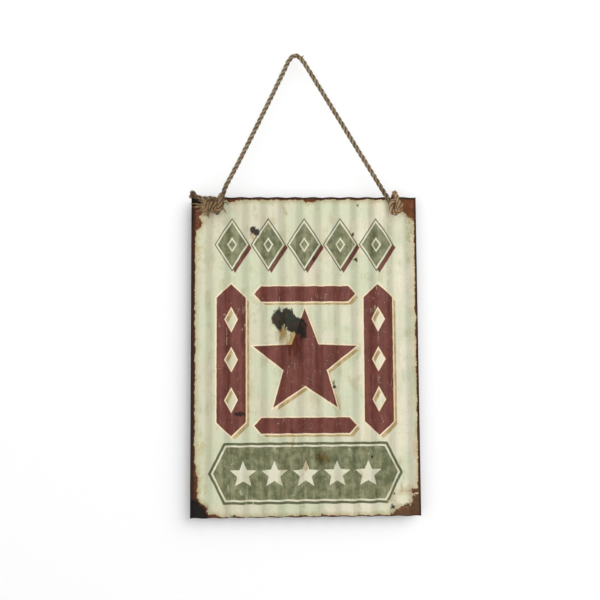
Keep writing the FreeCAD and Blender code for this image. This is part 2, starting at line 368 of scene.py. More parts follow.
BLACK_STAINS = [
    (-29, 136, 7, 12),
    (-20, 133, 8, 10),
    (-14, 141, 9, 10),
    (-6, 144, 8, 10),
    (-2, 152, 4, 7),
    (114.5, 323, 3.4, 1.0),
    (117, 330, 1.5, 1.8),
    (110, 339, 3.6, 1.8),
    (94, 340, 2.2, 3.6),
    (96, 326, 1.5, 2.0),
    (-57, 36, 3.6, 4),
    (-53, 39, 3.4, 4),
    (31, 206, 1.6, 3),
    (32, 210, 2.2, 2.6),
    (-73, 239, 6, 2.6),
    (18, 350, 2.8, 2.4),
    (-78, 350, 3.0, 2.8),
    (10, 69, 1.6, 1.8),
    (56, 70, 2.6, 2.0),
    (54, 42, 1.2, 1.2),
    (60, 9, 1.2, 1.4),
    (72, 286, 1.4, 1.4),
]

YELLOWED = [
    (118, 40, 9, 21),
    (-112, 276, 8, 18),
    (-114, 322, 8, 20),
    (-116, 60, 8, 30),
    (92, 330, 8, 14),
]

FLAKED = [
    (118, 40, 9, 21),
    (-112, 330, 8, 12),
]


def patch(u, v, middle_u, middle_v, half_u, half_v):
    """Depth inside an oval patch, in mm, negative outside."""
    across = (u - middle_u) / half_u
    down = (v - middle_v) / half_v
    return (1.0 - (across * across + down * down).math("SQRT")) * min(half_u, half_v)


def deepest(fields):
    """The largest of several fields."""
    result = fields[0]
    for field in fields[1:]:
        result = result.most(field)
    return result


def inside(u, v, patches):
    """Depth inside the nearest of several patches."""
    return deepest([patch(u, v, *numbers) for numbers in patches])


def border_depth(u, v):
    """How deep a place lies inside the rusted strip along the four edges, in mm."""
    half = SHEET_HALF / MM
    height = SHEET_HEIGHT / MM
    return deepest([
        EDGE_RUST["left"] - (u + half),
        EDGE_RUST["right"] - (half - u),
        EDGE_RUST["top"] - v,
        EDGE_RUST["bottom"] - (height - v),
    ])


def inked(colour, distance, ink, worn, softness=0.28):
    """Lays ink inside a shape, apart from where it is worn through."""
    cover = distance.rise(softness, -softness) * worn
    return mix(cover, colour, ink)


# Print. waver moves its outlines a little, and worn is 0 where it has gone.

Inks = namedtuple("Inks", "green red tan worn waver")


def faded_inks(u, v, at):
    """The three clouded colours of the print, with its wear."""
    flecks = speckle(at, 1.1, 4.0, 0.7)
    patches = speckle(at, 22.0, 3.0, 0.6)
    worn = (flecks * 0.6 + patches * 0.5).rise(0.76, 0.70)
    waver = (speckle(at, 7.0, 3.0, 0.6) - 0.5) * 0.9
    clouds = speckle(at, 9.0, 5.0, 0.65)
    brushed = speckle(point(u, v * 0.12, 2.0), 4.0, 5.0, 0.65)
    green = mix((clouds * 0.6 + brushed * 0.4).rise(0.38, 0.62), PRINT_GREEN_DARK, PRINT_GREEN)
    red = mix((clouds * 0.35 + brushed * 0.65).rise(0.34, 0.66), RED_DARK, RED)
    tan = mix(clouds.rise(0.35, 0.65), TAN_DARK, TAN)
    return Inks(green, red, tan, worn, waver)


def top_print(u, v, colour, inks):
    """Green lozenges with cream lines and a red shadow to the lower right."""
    shape = top_motif(u, v) + inks.waver
    shadow = top_motif(u - 3.4, v - 3.4) + inks.waver
    heart = abs(shape + 12.5) - 0.8
    colour = inked(colour, shadow + 1.0, inks.red, inks.worn)
    colour = inked(colour, shape, OLIVE, inks.worn)
    colour = inked(colour, shape + 1.1, INLINE_CREAM, 1.0)
    colour = inked(colour, shape + 2.9, inks.green, inks.worn)
    return inked(colour, heart, INLINE_CREAM, inks.worn)


def cut_motif(u, v, waver):
    """Main motif with the openings taken out of its upright bars."""
    return (main_motif(u, v) + waver).most(-(post_windows(u, v) + waver))


def main_print(u, v, colour, inks):
    """Red star and bars with a pale line round them and a tan shadow to the lower right."""
    shape = cut_motif(u, v, inks.waver)
    shadow = cut_motif(u - 4.0, v - 4.0, inks.waver)
    colour = inked(colour, shadow + 0.4, inks.tan, inks.worn)
    colour = inked(colour, shape - 1.5, INLINE_WARM, 1.0)
    return inked(colour, shape, inks.red, inks.worn)


def panel_print(u, v, colour, inks):
    """Green panel with a darker rim, a cream line inside it and cream stars."""
    shape = panel_shape(u, v) + inks.waver
    stars = panel_stars(u, v) + inks.waver * 0.8
    colour = inked(colour, shape, PRINT_GREEN_DARK, inks.worn)
    colour = inked(colour, shape + 2.8, INLINE_CREAM, 1.0)
    colour = inked(colour, shape + 4.8, inks.green, inks.worn)
    return inked(colour, stars, INLINE_CREAM, inks.worn)


# Layers of the sheet's surface

def cream_paint(u, clouds, streaks):
    """Cream paint, paler to the right, with greenish clouds and faint upright streaks."""
    paint = mix(u.rise(-60.0, 110.0), CREAM, CREAM_RIGHT)
    paint = mix(clouds.rise(0.60, 0.38) * 0.8, paint, PALE_GREEN)
    return mix(streaks.rise(0.50, 0.30) * 0.5, paint, SHADE_CREAM)


def scratch_marks(u, v, at):
    """Thin upright scratches, broken off in places."""
    field = speckle(point(u, v * 0.07, 7.0), 8.0, 2.0, 0.4, 0.4)
    broken = speckle(at, 10.0, 3.0, 0.6).rise(0.52, 0.60)
    return abs(field - 0.5).rise(0.006, 0.002) * broken


def fine_wear(at, colour, scratches, clouds, streaks, fine):
    """Scratches, chips, yellow dirt and dark specks over paint and print."""
    chips = speckle(at, 2.2, 3.0, 0.65).rise(0.655, 0.68)
    chips = chips * speckle(at, 20.0, 3.0, 0.6).rise(0.48, 0.58)
    dirt = streaks.rise(0.42, 0.60) * speckle(at, 16.0, 4.0, 0.6).rise(0.46, 0.62)
    specks = speckle(at, 1.6, 2.0, 0.5).rise(0.715, 0.75) * clouds.rise(0.42, 0.58)
    colour = mix(scratches.most(chips) * 0.5, colour, INLINE_CREAM)
    colour = tint(fine.rise(0.56, 0.70) * 0.30 + dirt * 0.30, colour, STAIN_YELLOW)
    return mix(specks * 0.8, colour, RUST_DARK)


def rust_depth(u, v, at, ragged, grain):
    """How deep a place lies inside the rust of the edges and corners, in mm."""
    border = border_depth(u, v) + (speckle(at, 11.0, 6.0, 0.72) - 0.48) * 8.0 + grain * 1.6
    return border.most(inside(u, v, CORNER_PATCHES) + ragged)


def yellowed(u, v, at, colour, depth):
    """Yellowed and flaked paint, and the yellow rim round the rust."""
    flaky = speckle(at, 6.0, 5.0, 0.7).rise(0.47, 0.60)
    colour = mix(inside(u, v, YELLOWED).rise(-3.0, 6.0) * flaky * 0.6, colour, STAIN_YELLOW)
    flakes = inside(u, v, FLAKED) * 0.25 + (speckle(at, 3.0, 5.0, 0.8) - 0.5) * 14.0
    colour = mix(flakes.rise(2.6, 3.6) * 0.6, colour, RUST)
    return tint(depth.rise(-6.0, 0.0) * 0.50, colour, STAIN_YELLOW)


def stained(u, v, colour, ragged, grain):
    """Brown and black stains drawn out downwards. Returns the colour and the stains' share."""
    runs = speckle(point(u, v * 0.35, 5.0), 4.0, 5.0, 0.7) - 0.5
    brown = (inside(u, v, BROWN_STAINS) * 0.35 + runs * 9.0 + ragged * 0.25).rise(-0.2, 2.6)
    black = inside(u, v, BLACK_STAINS) + runs * 8.0 + ragged * 0.30 + grain * 3.0
    black = black.rise(-0.6, 1.0)
    colour = tint(brown * 0.85, colour, STAIN_BROWN)
    colour = mix(black * 0.96, colour, mix(runs.rise(0.0, 0.16), SOOT, RUST_DARK))
    return colour, brown.most(black)


def rust_colour(u, v, at, depth, ragged, grain):
    """Rust in bands and pits, greyer at the lower right and brighter at the upper right."""
    bands = speckle(point(u, v * 0.05, 1.0), 3.5, 3.0, 0.6)
    rust = mix((speckle(at, 5.0, 5.0, 0.7) + bands * 0.7).rise(0.66, 1.02), RUST_DARK, RUST)
    rust = mix(u.rise(40.0, 90.0) * v.rise(240.0, 310.0) * 0.6, rust, RUST_GREY)
    rust = mix(u.rise(40.0, 110.0) * v.rise(90.0, 30.0) * 0.3, rust, RUST_BRIGHT)
    rust = mix(depth.rise(1.3, 0.1) * 0.5, rust, RUST_BRIGHT)
    pits = speckle(at, 2.4, 5.0, 0.72)
    rust = mix(pits.rise(0.52, 0.62) * 0.55, rust, RUST_DARK)
    rust = mix(pits.rise(0.42, 0.34) * 0.45, rust, RUST_BRIGHT)
    rim_depth = border_depth(u, v) + grain * 2.0
    rust = mix(rim_depth.rise(-0.8, 1.5) * 0.92, rust, EDGE_BROWN)
    sooted = inside(u, v, SOOT_PATCHES) + ragged * 0.6
    rust = mix(sooted.rise(-7.0, -1.0) * 0.55, rust, RUST_DARK)
    return mix(sooted.rise(-1.6, 0.8) * (0.98 - pits.rise(0.54, 0.66) * 0.2), rust, SOOT)


def bare_steel(at, clouds, fine, depth, rust):
    """Galvanised steel with rust spots, and rusted where the front is."""
    spangle = speckle(at, 6.0, 2.0, 0.4, 1.5)
    bare = mix(spangle.rise(0.35, 0.65), STEEL_DARK, STEEL)
    bare = mix(clouds.rise(0.56, 0.66) * fine.rise(0.4, 0.6) * 0.8, bare, RUST)
    return mix(depth.rise(-2.0, 0.5), bare, rust)


def printed_steel():
    """Cream paint with worn print, rusted from the edges inwards; bare steel behind."""
    material, tree, shader = new_material("printed_steel")
    coordinates = tree.nodes.new("ShaderNodeTexCoord")
    x, y, z = parts_of(tree, coordinates.outputs["Object"])
    u = (x - SHEET_MIDDLE) * (1 / MM)
    v = (SHEET_TOP - z) * (1 / MM)
    at = point(u, v, y * (1 / MM))

    streaks = speckle(point(u * 0.16, v * 0.012, 3.0), 1.0, 4.0, 0.6)
    clouds = speckle(at, 60.0, 4.0, 0.6)
    fine = speckle(at, 2.6, 5.0, 0.7)
    grain = speckle(at, 1.5, 3.0, 0.6) - 0.5
    ragged = (speckle(at, 9.0, 6.0, 0.70) - 0.5) * 12.0 + grain * 2.4
    scratches = scratch_marks(u, v, at)
    depth = rust_depth(u, v, at, ragged, grain)
    rusted = depth.rise(-0.25, 0.35)
    rust = rust_colour(u, v, at, depth, ragged, grain)

    colour = cream_paint(u, clouds, streaks)
    inks = faded_inks(u, v, at)
    for layer in (top_print, main_print, panel_print):
        colour = layer(u, v, colour, inks)
    colour = fine_wear(at, colour, scratches, clouds, streaks, fine)
    colour = yellowed(u, v, at, colour, depth)
    colour, stains = stained(u, v, colour, ragged, grain)
    colour = mix(rusted, colour, rust)

    normal = parts_of(tree, tree.nodes.new("ShaderNodeNewGeometry").outputs["Normal"])
    behind = normal[1].rise(0.05, 0.3)
    rim = abs(normal[1]).rise(0.45, 0.3)
    colour = mix(behind, colour, bare_steel(at, clouds, fine, depth, rust))
    colour = mix(rim, colour, rust)
    tree.links.new(colour.socket, shader.inputs["Base Color"])

    worn_rough = rusted.most(stains * (1.0 - behind) * 0.8).most(rim)
    roughness = worn_rough * 0.42 + 0.44 + (fine - 0.5) * 0.12
    tree.links.new(roughness.socket, shader.inputs["Roughness"])
    metal = (1.0 - worn_rough) * behind * 0.75
    tree.links.new(metal.socket, shader.inputs["Metallic"])
    shader.inputs["Specular IOR Level"].default_value = 0.25
    crust = speckle(at, 1.3, 4.0, 0.65) * worn_rough
    peel = speckle(at, 3.5, 2.0, 0.5) * 0.10
    relief = crust * 0.22 + peel - rusted * 0.10 - scratches * 0.05
    bump(shader, relief, MM)
    return material


# Rope

ROPE_RADIUS = 2.5 * MM
STRANDS = 3
STRAND_RADIUS = 1.4 * MM
STRAND_OFFSET = 1.28 * MM
STRAND_SIDES = 12
STRAND_ROUNDING = 1.4 * MM
LAY = 19 * MM
STATION_STEP = 0.8 * MM
FLARE_REACH = 8 * MM
SWELL_PITCH = 6 * MM
LUMP_PITCH = 1.6 * MM

YARN_RADIUS = 0.8 * MM
YARN_SIDES = 8
YARN_STEP = 0.6 * MM
YARN_ROUNDING = 0.8 * MM
YARN_LUMP_PITCH = 2.2 * MM
FAN_COUNT = 11
FAN_SEED = 5

FIBRE_COUNT = 900
FIBRE_SEED = 11
FIBRE_RINGS = 6
FIBRE_SIDES = 3
LOOSE_TURN_SHARE = 0.2

LEFT_HOLE = place(-92.5, 0, -172)
RIGHT_HOLE = place(107.5, 0, -172)
LEFT_KNOT = LEFT_HOLE + place(1.1, -9.0, -1.3)
RIGHT_KNOT = RIGHT_HOLE + place(1.2, -9.0, -2.3)

HANG_ROUTE = [
    LEFT_HOLE + place(9.2, -9.0, -1.0),
    LEFT_HOLE + place(8.5, -8.8, 14.5),
    place(-67.3, -7.4, -127.6),
    place(-15.6, -1.2, -19.4),
    place(-6.3, 0.0, 2.2),
    place(3.5, 0.0, 2.7),
    place(15.9, -0.8, -18.0),
    RIGHT_HOLE + place(-1.7, -6.9, 0.0),
]

Station = namedtuple("Station", "centre tangent normal side along")


def spline_line(points):
    """Polyline of the smooth spline that has these control points."""
    curve = bpy.data.curves.new("route", "CURVE")
    curve.dimensions = "3D"
    curve.resolution_u = 32
    spline = curve.splines.new("NURBS")
    spline.points.add(len(points) - 1)
    for control, spot in zip(spline.points, points):
        control.co = (*spot, 1.0)
    spline.order_u = 3
    spline.use_endpoint_u = True
    obj = bpy.data.objects.new("route", curve)
    mesh = bpy.data.meshes.new_from_object(obj)
    line = [vertex.co.copy() for vertex in mesh.vertices]
    bpy.data.meshes.remove(mesh)
    bpy.data.objects.remove(obj)
    bpy.data.curves.remove(curve)
    return line


def evenly(line, step):
    """Points spaced evenly along a polyline, with its own ends kept."""
    reach = [0.0]
    for before, after in zip(line, line[1:]):
        reach.append(reach[-1] + (after - before).length)
    count = max(2, round(reach[-1] / step))
    spaced = []
    index = 0
    for i in range(count + 1):
        target = reach[-1] * i / count
        while index < len(line) - 2 and reach[index + 1] < target:
            index += 1
        gap = reach[index + 1] - reach[index]
        share = (target - reach[index]) / gap if gap else 0.0
        spaced.append(line[index].lerp(line[index + 1], share))
    return spaced


def stations(points, step=STATION_STEP):
    """Stations along the spline of these control points, with sides that don't twist about it."""
    spots = evenly(spline_line(points), step)
    result = []
    along = 0.0
    normal = None
    for i, spot in enumerate(spots):
        tangent = (spots[min(i + 1, len(spots) - 1)] - spots[max(i - 1, 0)]).normalized()
        if normal is None:
            normal = tangent.orthogonal()
        normal = (normal - tangent * normal.dot(tangent)).normalized()
        if i:
            along += (spot - spots[i - 1]).length
        result.append(Station(spot, tangent, normal, tangent.cross(normal), along))
    return result


class Skin:
    """Faces of one piece, gathered tube by tube. A corner's place is its way round and along."""

    def __init__(self):
        self.points = []
        self.faces = []
        self.places = []

    def tube(self, rings, along, way_round=1.0):
        """Closed tube over rings of points. way_round is the share of a turn its places cover."""
        sides = len(rings[0])
        first = len(self.points)
        for ring in rings:
            self.points.extend(ring)
        for i in range(len(rings) - 1):
            low = first + i * sides
            high = low + sides
            before = along[i]
            after = along[i + 1]
            for k in range(sides):
                j = (k + 1) % sides
                self.faces.append((low + k, low + j, high + j, high + k))
                left = way_round * k / sides
                right = way_round * (k + 1) / sides
                self.places += [(left, before), (right, before), (right, after), (left, after)]
        last = first + (len(rings) - 1) * sides
        self.faces.append(tuple(reversed(range(first, first + sides))))
        self.faces.append(tuple(range(last, last + sides)))
        self.places += [(0.0, along[0])] * sides + [(0.0, along[-1])] * sides

    def piece(self, name, material):
        """Mesh object that rides with the sign."""
        mesh = bpy.data.meshes.new(name)
        mesh.from_pydata(self.points, [], self.faces)
        strand = mesh.uv_layers.new(name="strand")
        strand.data.foreach_set("uv", [number for spot in self.places for number in spot])
        mesh.polygons.foreach_set("use_smooth", [True] * len(mesh.polygons))
        mesh.materials.append(material)
        obj = bpy.data.objects.new(name, mesh)
        bpy.context.collection.objects.link(obj)
        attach(obj, "root")
        return obj


def end_share(along, total, rounding):
    """Share of full thickness near a rounded end."""
    gap = min(along, total - along)
    if gap >= rounding:
        return 1.0
    return max(0.12, math.sqrt(1 - (1 - gap / rounding) ** 2))


def even_ring(middle, across, up, radius, sides):
    """Points of a circle in the plane of two unit vectors."""
    turns = [math.tau * k / sides for k in range(sides)]
    return [middle + (across * math.cos(turn) + up * math.sin(turn)) * radius for turn in turns]


def lumpy_ring(middle, across, up, radius, along, seed):
    """Section of a strand, with small lumps that change round and along it."""
    ring = []
    for k in range(STRAND_SIDES):
        turn = math.tau * k / STRAND_SIDES
        lump = 1 + 0.05 * noise.noise(Vector((along / LUMP_PITCH, k * 0.9, seed)))
        ring.append(middle + (across * math.cos(turn) + up * math.sin(turn)) * radius * lump)
    return ring


def lay_rope(skin, line, phase=0.0, flare=0.0):
    """Strands laid round a line. flare opens and thickens them over the last millimetres."""
    total = line[-1].along
    for strand in range(STRANDS):
        rings = []
        for station in line:
            along = station.along
            near_end = max(0.0, 1 - (total - along) / FLARE_REACH)
            turn = phase + math.tau * (strand / STRANDS + along / LAY)
            out = station.normal * math.cos(turn) + station.side * math.sin(turn)
            cross = station.tangent.cross(out)
            spot = Vector((along / SWELL_PITCH, strand * 9.0, phase))
            swell = (1 + 0.09 * noise.noise(spot)) * (1 + flare * near_end * near_end)
            middle = station.centre + out * STRAND_OFFSET * swell
            radius = STRAND_RADIUS * swell * end_share(along, total, STRAND_ROUNDING)
            rings.append(lumpy_ring(middle, out, cross, radius, along, strand + phase))
        skin.tube(rings, [station.along for station in line])


def yarn(skin, points):
    """Single loose yarn that thins out towards its free end."""
    line = stations(points, YARN_STEP)
    total = line[-1].along
    rings = []
    for station in line:
        thinning = 1 - 0.55 * (station.along / total) ** 2
        lump = 1 + 0.22 * noise.noise(station.centre / YARN_LUMP_PITCH)
        thick = YARN_RADIUS * lump * thinning * end_share(station.along, total, YARN_ROUNDING)
        rings.append(even_ring(station.centre, station.normal, station.side, thick, YARN_SIDES))
    skin.tube(rings, [station.along for station in line], LOOSE_TURN_SHARE)


def coil_route():
    """Four wraps side by side on the left knot's tilted axis, steeper towards its left end."""
    tilt = math.radians(20)
    axis = Vector((math.cos(tilt), 0, -math.sin(tilt)))
    up = Vector((math.sin(tilt), 0, math.cos(tilt)))
    front = Vector((0, -1, 0))
    turns = 4
    per_turn = 12
    points = [LEFT_KNOT + axis * 8 * MM]
    for i in range(turns * per_turn + 1):
        turned = i / per_turn
        angle = math.tau * turned
        slant = (0.2 + 0.85 * turned) * MM
        across = (6.8 - 4.7 * turned) * MM - slant * math.cos(angle)
        away = (4.4 - 0.2 * turned) * MM
        outward = up * math.cos(angle) + front * math.sin(angle)
        points.append(LEFT_KNOT + axis * across + outward * away)
    points.append(LEFT_KNOT - axis * 8 * MM)
    return points


LEFT_CURL = [
    place(-84.0, -9.5, -159),
    place(-84.6, -13.5, -164),
    place(-84.6, -15.5, -171),
    place(-85.8, -16.0, -178),
    place(-91.2, -15.5, -178.5),
    place(-92.0, -11.0, -174),
]

RIGHT_WRAPS = [
    RIGHT_KNOT + place(-3.4, 2.5, 7.0),
    RIGHT_KNOT + place(1.5, 3.0, 1.0),
    RIGHT_KNOT + place(2.0, 1.0, -5.0),
    RIGHT_KNOT + place(-2.5, -3.0, -6.4),
    RIGHT_KNOT + place(-6.2, -5.0, -3.4),
    RIGHT_KNOT + place(-6.2, -5.0, 3.6),
    RIGHT_KNOT + place(-3.6, -3.0, 8.0),
    RIGHT_KNOT + place(1.0, 0.5, 8.0),
    RIGHT_KNOT + place(4.8, -1.5, 6.0),
    RIGHT_KNOT + place(5.6, -5.0, 0.5),
    RIGHT_KNOT + place(3.4, -6.0, -4.2),
    RIGHT_KNOT + place(-1.0, -4.0, -4.6),
    RIGHT_KNOT + place(-2.0, 0.0, -2.0),
]

# From inside each knot back through its hole, up behind the sheet, over the top edge and down.

LEFT_LOOP = [
    LEFT_HOLE + place(0, -6.0, -4.4),
    LEFT_HOLE + place(0, 6.4, 1.1),
    LEFT_HOLE + place(8.6, 4.6, 15.0),
    LEFT_HOLE + place(8.6, -4.6, 15.0),
    LEFT_HOLE + place(2.8, -9.0, 2.0),
]

RIGHT_LOOP = [
    RIGHT_HOLE + place(0, -6.0, -4.4),
    RIGHT_HOLE + place(0, 6.4, 1.1),
    RIGHT_HOLE + place(0.8, 4.3, 17.2),
    RIGHT_HOLE + place(1.4, -5.1, 17.2),
    RIGHT_HOLE + place(3.0, -11.5, 7.0),
    RIGHT_HOLE + place(4.6, -14.5, 0.0),
    RIGHT_HOLE + place(3.4, -13.5, -5.5),
]

TAIL_ROUTE = [
    LEFT_KNOT + place(1.0, 0.0, 3.0),
    LEFT_HOLE + place(3.4, -10.0, 8.4),
    LEFT_HOLE + place(-4.0, -7.4, 9.6),
    LEFT_HOLE + place(-11.0, -5.6, 9.4),
    LEFT_HOLE + place(-17.0, -5.2, 10.8),
    LEFT_HOLE + place(-22.2, -5.6, 13.0),
    LEFT_HOLE + place(-23.0, -9.4, 13.2),
]

# Three stray yarns at the left knot and one at the nail.

STRAY_YARNS = [
    [
        place(-97, -7, -168),
        place(-104, -4.6, -165.5),
        place(-110, -3.6, -164.5),
    ],
    [
        place(-86, -11, -169),
        place(-80.5, -7.5, -167.4),
        place(-77.5, -5, -166.6),
        place(-76.6, -4, -169.8),
    ],
    [
        place(-84, -12, -171),
        place(-81, -8, -175.0),
        place(-78.5, -4, -178.5),
    ],
    [
        place(3.4, -0.5, -1.0),
        place(6.0, -1.4, -0.2),
        place(8.3, -1.2, 2.4),
    ],
]


def fan_of_yarns(count, seed):
    """Yarns that spread over the sheet from the left end of the left knot, longest to the left."""
    draw = random.Random(seed)
    routes = []
    for i in range(count):
        share = i / (count - 1)
        heading = math.radians(177 + 80 * share + draw.uniform(-3, 3))
        length = 19.5 - 10.5 * share ** 0.6 + draw.uniform(-1.5, 1.5)
        way = Vector((math.cos(heading), 0, math.sin(heading)))
        across = Vector((-way.z, 0, way.x))
        start = place(-98.5 + 1.5 * share, -8.0, -169.0 - 5.5 * share)
        bow = draw.uniform(-1.2, 1.2) * MM
        middle = start + way * length * 0.42 * MM + across * bow + place(0, 3.2, 0)
        beyond = start + way * length * 0.74 * MM - across * bow + place(0, 4.4, 0)
        routes.append([start, middle, beyond, start + way * length * MM + place(0, 4.9, 0)])
    return routes


WARM_TINT = screen(236, 196, 160)
GREEN_TINT = screen(206, 210, 176)
# Colours of painted shade: in the grooves between yarns, in the gaps between strands, and low on the
# rope near the knots.
YARN_GAP_SHADE = screen(120, 104, 84)
STRAND_GAP_SHADE = screen(106, 83, 52)
LOW_END_SHADE = screen(150, 140, 108)


def jute(name, light, dark, low_end_shading=0.0):
    """Dull plant fibre with fine threads along each strand, with painted shade in the grooves
    between yarns and strands. The last argument darkens it near the knots on the sheet, as painted
    shade.
    """
    material, tree, shader = new_material(name)
    strand = tree.nodes.new("ShaderNodeUVMap")
    strand.uv_map = "strand"
    around, along, _ = parts_of(tree, strand.outputs["UV"])
    crest = (around * math.tau).math("COSINE")
    across = around * (math.tau * STRAND_RADIUS) + along * 0.38
    threads = speckle(point(across * 5200.0, along * 260.0), 1.0, 3.0, 0.6)
    yarns = (across * (math.tau / (0.95 * MM))).math("SINE")
    coordinates = tree.nodes.new("ShaderNodeTexCoord")
    x, y, z = parts_of(tree, coordinates.outputs["Object"])
    at = point(x, y, z)
    colour = mix(threads.rise(0.30, 0.70), dark, light)
    colour = tint(speckle(at, 7 * MM, 3.0, 0.6).rise(0.50, 0.64) * 0.7, colour, WARM_TINT)
    colour = tint(speckle(at, 11 * MM, 3.0, 0.6).rise(0.50, 0.64) * 0.6, colour, GREEN_TINT)
    # Painted shade in the grooves between the yarns of each strand.
    colour = tint(yarns.rise(-0.2, -1.0) * 0.35, colour, YARN_GAP_SHADE)
    # Painted shade on the sides of each strand, away from its outer crest, where the strands press
    # together.
    colour = tint(crest.rise(0.75, -0.15) * 0.80, colour, STRAND_GAP_SHADE)
    # Painted shade on the rope's low end, towards the knots on the sheet.
    if low_end_shading:
        colour = tint(z.rise(-0.140, -0.156) * low_end_shading, colour, LOW_END_SHADE)
    tree.links.new(colour.socket, shader.inputs["Base Color"])
    shader.inputs["Roughness"].default_value = 0.92
    shader.inputs["Specular IOR Level"].default_value = 0.25
    shader.inputs["Sheen Weight"].default_value = 0.15
    shader.inputs["Sheen Roughness"].default_value = 0.5
    bump(shader, threads * 0.5 + yarns * 0.28, 0.35 * MM)
    return material


def loose_fibres(lines, count, material, seed):
    """Hair-fine fibres that stand off the rope, drawn at random from its stations."""
    draw = random.Random(seed)
    skin = Skin()
    weights = [line[-1].along for line in lines]
    for _ in range(count):
        line = draw.choices(lines, weights)[0]
        station = line[draw.randrange(len(line))]
        turn = draw.uniform(0, math.tau)
        out = station.normal * math.cos(turn) + station.side * math.sin(turn)
        way = station.tangent * draw.choice((-1, 1))
        length = draw.uniform(2.0, 7.0) * MM
        lift = draw.uniform(0.15, 0.75)
        curl = draw.uniform(-0.5, 0.5)
        thick = draw.uniform(0.035, 0.075) * MM
        drift = way.cross(out) * curl
        start = station.centre + out * ROPE_RADIUS * 0.9
        rings = []
        places = []
        for i in range(FIBRE_RINGS):
            share = i / (FIBRE_RINGS - 1)
            spot = start + (way + drift * share) * length * share * (1 - lift * share * 0.4)
            spot = spot + out * length * lift * share ** 1.4
            radius = thick * (1 - 0.6 * share)
            rings.append(even_ring(spot, out, -way.cross(out), radius, FIBRE_SIDES))
            places.append(length * share)
        skin.tube(rings, places, LOOSE_TURN_SHARE)
    return skin.piece("loose_fibres", material)


# The main jute gets 0.6 of painted shade near the knots.
JUTE = jute("jute", screen(200, 185, 156), screen(136, 120, 93), 0.6)
JUTE_DARK = jute("jute_dark", screen(176, 151, 120), screen(99, 81, 58))
JUTE_BROWN = jute("jute_brown", screen(190, 161, 118), screen(114, 88, 55))
JUTE_LIGHT = jute("jute_light", screen(218, 185, 144), screen(160, 131, 97))


def rope_piece(name, material, lines, node, **shape):
    """Rope along one or more lines, as one piece that stands for a node."""
    skin = Skin()
    for line in lines:
        lay_rope(skin, line, **shape)
    obj = skin.piece(name, material)
    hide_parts(node)
    return obj


hang_line = stations(HANG_ROUTE)
left_knot_lines = [stations(coil_route()), stations(LEFT_CURL)]
right_knot_lines = [stations(RIGHT_WRAPS)]
left_loop_line = stations(LEFT_LOOP)
right_loop_line = stations(RIGHT_LOOP)
tail_line = stations(TAIL_ROUTE)

hanging = rope_piece("hanging_strands", JUTE, [hang_line], "hanging_rope")
left_knot = rope_piece("left_knot", JUTE_BROWN, left_knot_lines, "edge_knots", phase=0.6)
right_knot = rope_piece("right_knot", JUTE_LIGHT, right_knot_lines, "edge_knots", phase=1.4)
left_loop = rope_piece("left_loop", JUTE, [left_loop_line], "rope_ends", phase=0.3)
right_loop = rope_piece("right_loop", JUTE_LIGHT, [right_loop_line], "rope_ends", phase=2.2)
tail = rope_piece("frayed_tail", JUTE_DARK, [tail_line], "rope_ends", phase=1.0, flare=1.2)

yarn_skin = Skin()
for yarn_points in fan_of_yarns(FAN_COUNT, FAN_SEED) + STRAY_YARNS:
    yarn(yarn_skin, yarn_points)
yarns = yarn_skin.piece("loose_yarns", JUTE_BROWN)

rope_lines = [
    hang_line,
    *left_knot_lines,
    *right_knot_lines,
    left_loop_line,
    right_loop_line,
    tail_line,
]
fibres = loose_fibres(rope_lines, FIBRE_COUNT, JUTE_LIGHT, FIBRE_SEED)


# Steel sheet

def shade_smooth(obj, angle):
    """Smooth shading across edges that turn by less than an angle, without touching the mesh."""
    group = bpy.data.node_groups.new("shade_smooth", "GeometryNodeTree")
    group.interface.new_socket("Geometry", in_out="INPUT", socket_type="NodeSocketGeometry")
    group.interface.new_socket("Geometry", in_out="OUTPUT", socket_type="NodeSocketGeometry")
    enter = group.nodes.new("NodeGroupInput")
    leave = group.nodes.new("NodeGroupOutput")
    turn = group.nodes.new("GeometryNodeInputMeshEdgeAngle")
    gentle = group.nodes.new("FunctionNodeCompare")
    gentle.operation = "LESS_THAN"
    gentle.inputs["B"].default_value = angle
    faces = group.nodes.new("GeometryNodeSetShadeSmooth")
    edges = group.nodes.new("GeometryNodeSetShadeSmooth")
    edges.domain = "EDGE"
    group.links.new(turn.outputs["Unsigned Angle"], gentle.inputs["A"])
    group.links.new(enter.outputs[0], faces.inputs["Geometry"])
    group.links.new(faces.outputs[0], edges.inputs["Geometry"])
    group.links.new(gentle.outputs[0], edges.inputs["Shade Smooth"])
    group.links.new(edges.outputs[0], leave.inputs[0])
    modifier = obj.modifiers.new("shade_smooth", "NODES")
    modifier.node_group = group


def dress_sheet():
    """Material and shading of the steel sheet."""
    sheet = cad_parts["corrugated_sheet"]
    slot = sheet.material_slots[0]
    slot.link = "OBJECT"
    slot.material = printed_steel()
    shade_smooth(sheet, math.radians(30))


dress_sheet()


# Wall, floor and light

STAGE_SIDE = 1.6
FLOOR_LEVEL = -0.7
FLOOR_REACH = 2.0
WALL_TOP = 1.2
WALL_GLOW = 0.03
FLOOR_GLOW = 0.30

LIGHT_LEVEL = 0.54
LAMP_TARGET = place(7.5, 0, -300)
KEY_SPOT = Vector((-1.1, -1.5, 0.35))
KEY_SIZE = 1.7
FILL_SPOT = Vector((0.2, -2.0, -0.1))
FILL_SIZE = 1.2
WALL_LEFT_SPOT = Vector((-2.0, -2.3, -0.6))
WALL_LEFT_SIZE = 3.0
WALL_RIGHT_SPOT = Vector((2.1, -2.3, 1.5))
WALL_RIGHT_SIZE = 3.4
ROPE_KEY_SHARE = 0.40
ROPE_FILL_SHARE = 0.22
STEEL_KEY_SHARE = 0.52
STEEL_FILL_SHARE = 0.125
WALL_LEFT_SHARE = 0.22
WALL_RIGHT_SHARE = 0.87


